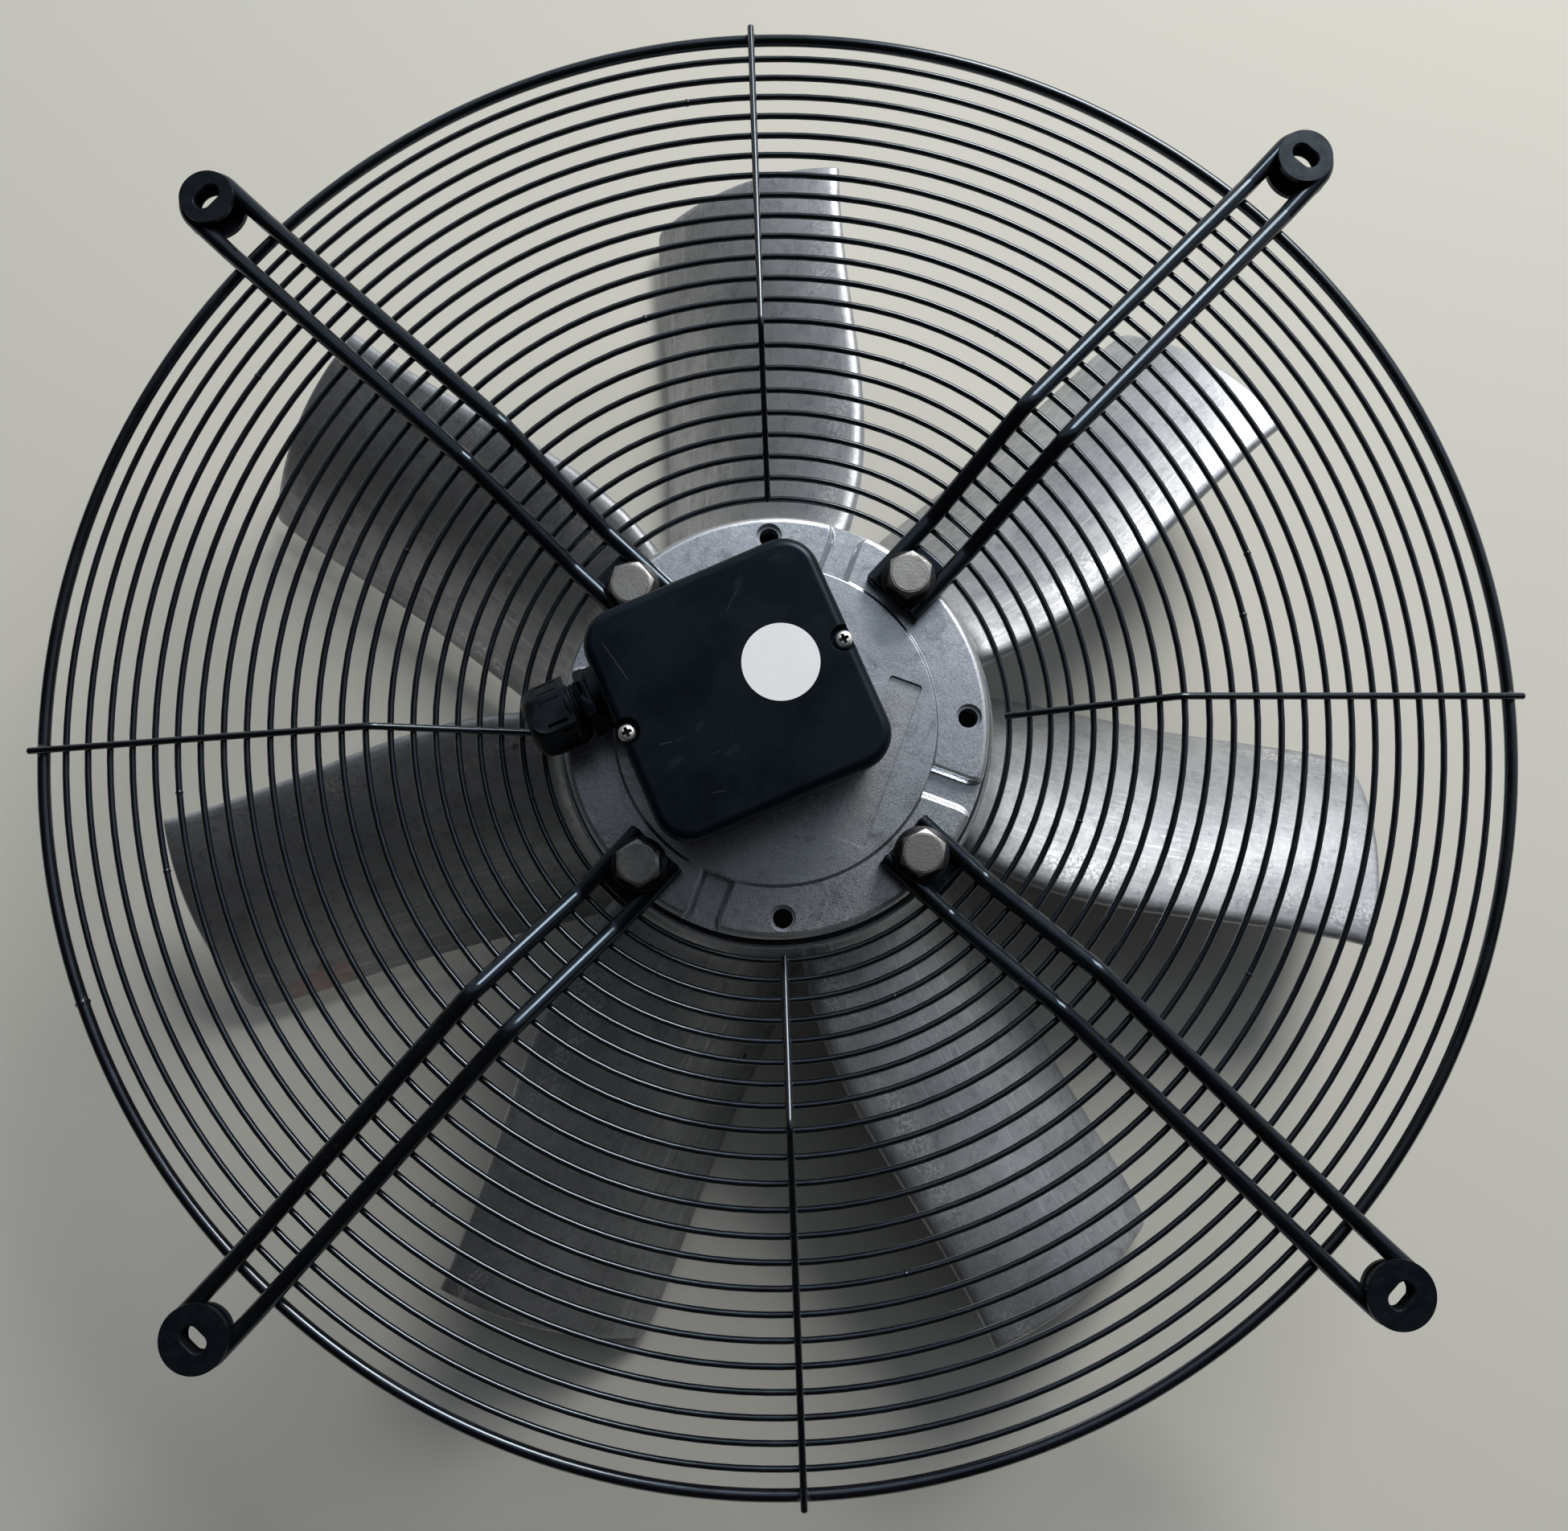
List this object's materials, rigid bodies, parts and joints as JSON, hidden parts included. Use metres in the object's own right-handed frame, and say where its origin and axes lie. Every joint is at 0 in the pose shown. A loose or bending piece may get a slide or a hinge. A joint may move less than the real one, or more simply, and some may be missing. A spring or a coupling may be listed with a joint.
{
  "type": "axial fan",
  "caption": "Axial fan with an external-rotor motor, twisted cast blades, a dished wire guard on hairpin arms and a terminal box.",
  "frame": {"origin": "on the fan axis at the underside of the rotor", "axes": "+Z along the fan axis from the impeller to the wire guard; the guard's spokes lie along X and Y, its arms between them"},
  "size_m": [0.6032, 0.6032, 0.175],
  "materials": {
    "coated_wire": "gloss black coating",
    "bush_plastic": "matte black",
    "bright_fasteners": "bright zinc plate",
    "dark_washers": "blackened",
    "cast_motor_parts": "raw die casting",
    "cast_blades": "raw die casting with flow marks",
    "motor_iron": "dull laminations",
    "winding": "lacquered copper wire",
    "bearing_steel": "ground",
    "box_plastic": "matte black, lightly scratched",
    "seal_rubber": "matte",
    "terminal_plastic": "satin",
    "rotor_paint": "satin black"
  },
  "bodies": {
    "fixed_frame": {"guard_grille": "coated_wire", "support_arm_upper_right": "coated_wire", "support_arm_upper_left": "coated_wire", "support_arm_lower_left": "coated_wire", "support_arm_lower_right": "coated_wire", "mounting_bush_upper_right": "bush_plastic", "mounting_bush_upper_left": "bush_plastic", "mounting_bush_lower_left": "bush_plastic", "mounting_bush_lower_right": "bush_plastic", "arm_bolt_upper_right": "bright_fasteners", "arm_bolt_upper_left": "bright_fasteners", "arm_bolt_lower_left": "bright_fasteners", "arm_bolt_lower_right": "bright_fasteners", "arm_washer_upper_right": "dark_washers", "arm_washer_upper_left": "dark_washers", "arm_washer_lower_left": "dark_washers", "arm_washer_lower_right": "dark_washers", "stator_flange": "cast_motor_parts", "bearing_tube": "cast_motor_parts", "stator_core": "motor_iron", "winding_head_upper": "winding", "winding_head_lower": "winding", "bearing_outer_upper": "bearing_steel", "bearing_outer_lower": "bearing_steel", "preload_spring": "bearing_steel", "terminal_box_base": "box_plastic", "lid_gasket": "seal_rubber", "terminal_box_lid": "box_plastic", "lid_screw_right": "bright_fasteners", "lid_screw_left": "bright_fasteners", "terminal_block": "terminal_plastic", "gland_body": "box_plastic", "gland_seal": "seal_rubber", "gland_nut": "box_plastic"},
    "impeller": {"rotor_shell": "rotor_paint", "rotor_cage": "motor_iron", "impeller_hub_ring": "cast_motor_parts", "shaft": "bearing_steel", "bearing_inner_upper": "bearing_steel", "bearing_inner_lower": "bearing_steel", "bearing_balls_upper": "bearing_steel", "bearing_balls_lower": "bearing_steel", "shaft_circlip": "bearing_steel", "blade_1": "cast_blades", "blade_2": "cast_blades", "blade_3": "cast_blades", "blade_4": "cast_blades", "blade_5": "cast_blades", "blade_6": "cast_blades", "blade_7": "cast_blades"}
  },
  "joints": [
    {"name": "impeller_spin", "type": "hinge", "parent": "fixed_frame", "child": "impeller", "pos_m": [0, 0, 0.058], "axis": [0, 0, 1], "continuous": true}
  ]
}
